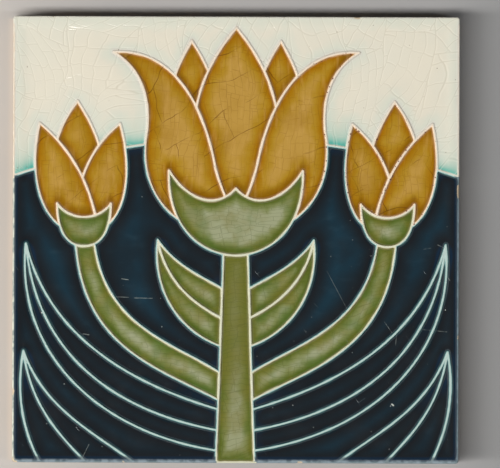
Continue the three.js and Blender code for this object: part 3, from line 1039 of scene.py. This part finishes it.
def blue_glaze():
    """The dark ground, paler in the middle of its cells, with scratches and nicks."""
    stops = [
        (0, (184, 204, 197)), (0.26, (170, 196, 190)), (0.4, (84, 136, 134)), (0.55, (14, 60, 66)),
        (0.9, (14, 34, 42)), (1.6, (28, 31, 35)), (3, (28, 33, 37)),
    ]
    g = start_glaze("blue_glaze", stops, rough=0.09)
    far = g.step(g.value("line_mm"), 1.5, 8.5)
    middle = g.times(far, g.step(g.noise(13, 3, seed=1), 0.3, 0.62, 0.35, 1))
    g.tint(middle, (26, 54, 68))
    narrow = g.step(g.value("pooling"), 0.9, 1.8, 0, 0.8)
    g.tint(g.times(narrow, g.step(g.value("line_mm"), 0.7, 1.6)), (20, 43, 64))
    g.tint(g.step(g.value("edge_mm"), 1, 2.2, 0.7, 0), (18, 40, 60))
    haze = g.step(g.noise(3, 4, g.stretched(g.place, (0.4, 1, 1)), 6), 0.5, 0.8, 0, 0.2)
    g.tint(g.times(haze, middle), (70, 96, 108))
    hairlines = g.step(g.cracks((9, 14), -38, 6, 0.3)[0], 0.02, 0.1, 1, 0)
    scuffs = g.times(hairlines, g.step(g.noise(6, 3, seed=9), 0.62, 0.74))
    g.tint(g.times(scuffs, 0.4), (120, 138, 142))
    broken = g.step(g.noise(1.2, 2), 0.35, 0.6, 0.2, 1)
    for start, end, width, share in SCRATCHES:
        scratch = g.times(g.mark(start, end, width), g.times(broken, share))
        g.tint(scratch, (176, 186, 180))
    for start, end, width in NICKS:
        g.tint(g.mark(start, end, width), (200, 206, 198))
    specks = g.times(g.dots(6.5, 0.19, 0.2, 3), g.step(g.value("line_mm"), 0.8, 1.6))
    g.tint(g.times(specks, 0.55), (140, 150, 148))
    height = g.minus(g.noise(3, 3, seed=4), g.times(g.plus(specks, scuffs), 0.6))
    edge_wear_and_light(g, 0.2, 0.8, (132, 149, 158), (206, 210, 194))
    return finish_glaze(g, height, depth=0.03)


def clay_body():
    """The bare buff clay of the sides and the back, dusty with old bedding mortar."""
    g = Graph("clay", (206, 184, 148))
    g.tint(g.step(g.noise(14, 5), 0.3, 0.7), (190, 164, 126))
    g.tint(g.step(g.noise(0.5, 3, seed=2), 0.4, 0.7, 0, 0.5), (168, 142, 106))
    g.tint(g.dots(1.5, 0.25, 0.5, dimensions="3D"), (120, 86, 58))
    z = g.parts(g.place)[2]
    in_keys = g.times(g.step(z, 0.15, 0.9, 0, 0.09), g.step(z, 1.2, 1.6, 1, 0))
    mortar = g.step(g.plus(g.noise(9, 8, seed=5), in_keys), 0.55, 0.6)
    g.tint(g.times(mortar, 0.6), (198, 194, 184))
    grain = g.plus(g.noise(0.45, 4, seed=7), g.times(g.noise(4, 4, seed=8), 1.6))
    height = g.plus(grain, g.times(mortar, 0.8))
    roughness = g.step(mortar, 0, 1, 0.82, 0.95)
    g.set(Base_Color=g.colour, Roughness=roughness, IOR=CLAY_IOR, Normal=g.bump(height, 0.12))
    return g.material


# The scene


def add_tile():
    """Makes the tile's one piece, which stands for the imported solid."""
    shapes = placed_shapes()
    lines = visible_lines(shapes)
    rows = side_rows()
    sides = [side_surface(quarter, rows, shapes) for quarter in range(4)]
    mesh = joined_mesh("glazed_tile", [face_surface(shapes, lines), back_surface(), *sides])
    for material in (cream_glaze(), ochre_glaze(), green_glaze(), blue_glaze(), clay_body()):
        mesh.materials.append(material)
    tile = bpy.data.objects.new("glazed_tile", mesh)
    bpy.context.collection.objects.link(tile)
    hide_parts("tile")
    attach(tile, "root")


def add_floor():
    """A pale table with painted shade that makes it darker and greyer to the right, and a warmer strip of
    painted light along the tile's left edge.
    """
    g = Graph("table")
    x, y, _ = g.parts(g.place)
    # Painted shade: the floor's colour darkens and greys towards the right of the tile.
    g.colour = g.ramp(g.plus(x, HALF_SIDE + FLOOR_START), FLOOR_PAINTED_SHADE)
    g.tint(g.step(g.noise(60, 3), 0.3, 0.7, 0, 0.06), (150, 145, 140))
    # A warm strip of painted light on the floor along the tile's left edge, for the light from its lit
    # side.
    lit_side_strip = g.step(g.math("ABSOLUTE", g.plus(x, HALF_SIDE + 0.6)), 0.2, 2.2, 0.28, 0)
    beside = g.times(lit_side_strip, g.step(g.math("ABSOLUTE", y), HALF_SIDE - 1, HALF_SIDE, 1, 0))
    g.tint(beside, (224, 206, 187))
    g.set(Base_Color=g.colour, Roughness=0.85, Specular_IOR_Level=0.2)
    mesh = bpy.data.meshes.new("table")
    half = FLOOR_SIDE / 2 * MM
    z = -FLOOR_GAP * MM
    corners = [(-half, -half, z), (half, -half, z), (half, half, z), (-half, half, z)]
    mesh.from_pydata(corners, [], [(0, 1, 2, 3)])
    mesh.materials.append(g.material)
    table = bpy.data.objects.new("table", mesh)
    bpy.context.collection.objects.link(table)


def add_light(name, place, aim, size, watts, colour):
    """A soft light. Its second side lies in a plane with the x axis, so its shadows end along a line."""
    light = bpy.data.lights.new(name, "AREA")
    light.shape = "RECTANGLE"
    light.size, light.size_y = (side * MM for side in size)
    light.energy = watts
    light.color = colour
    lamp = bpy.data.objects.new(name, light)
    lamp.location = Vector(place) * MM
    back = (Vector(place) - Vector(aim)).normalized()
    across = Vector((1, 0, 0)).cross(back).normalized()
    lamp.rotation_euler = Matrix((across, back.cross(across), back)).transposed().to_euler()
    bpy.context.collection.objects.link(lamp)


def add_camera():
    """A long lens that looks straight down, and frames the tile as the photograph does."""
    lens = bpy.data.cameras.new("camera")
    lens.sensor_fit = "HORIZONTAL"
    lens.sensor_width = SENSOR_WIDTH
    lens.lens = FOCAL_LENGTH
    camera = bpy.data.objects.new("camera", lens)
    distance = FRAME_WIDTH * FOCAL_LENGTH / SENSOR_WIDTH
    camera.location = Vector((*FRAME_CENTRE, THICKNESS + distance)) * MM
    camera.rotation_euler.z = math.radians(FRAME_TILT)
    bpy.context.collection.objects.link(camera)
    bpy.context.scene.camera = camera


def set_world():
    """A dim even surround, so that the dark glaze mirrors little from above."""
    world = bpy.data.worlds.new("studio")
    world.use_nodes = True
    world.node_tree.nodes["Background"].inputs["Color"].default_value = (*SURROUND, 1)
    bpy.context.scene.world = world
    bpy.context.scene.view_settings.view_transform = "Standard"


add_tile()
add_floor()
add_camera()
set_world()
for light in LIGHTS:
    add_light(*light)
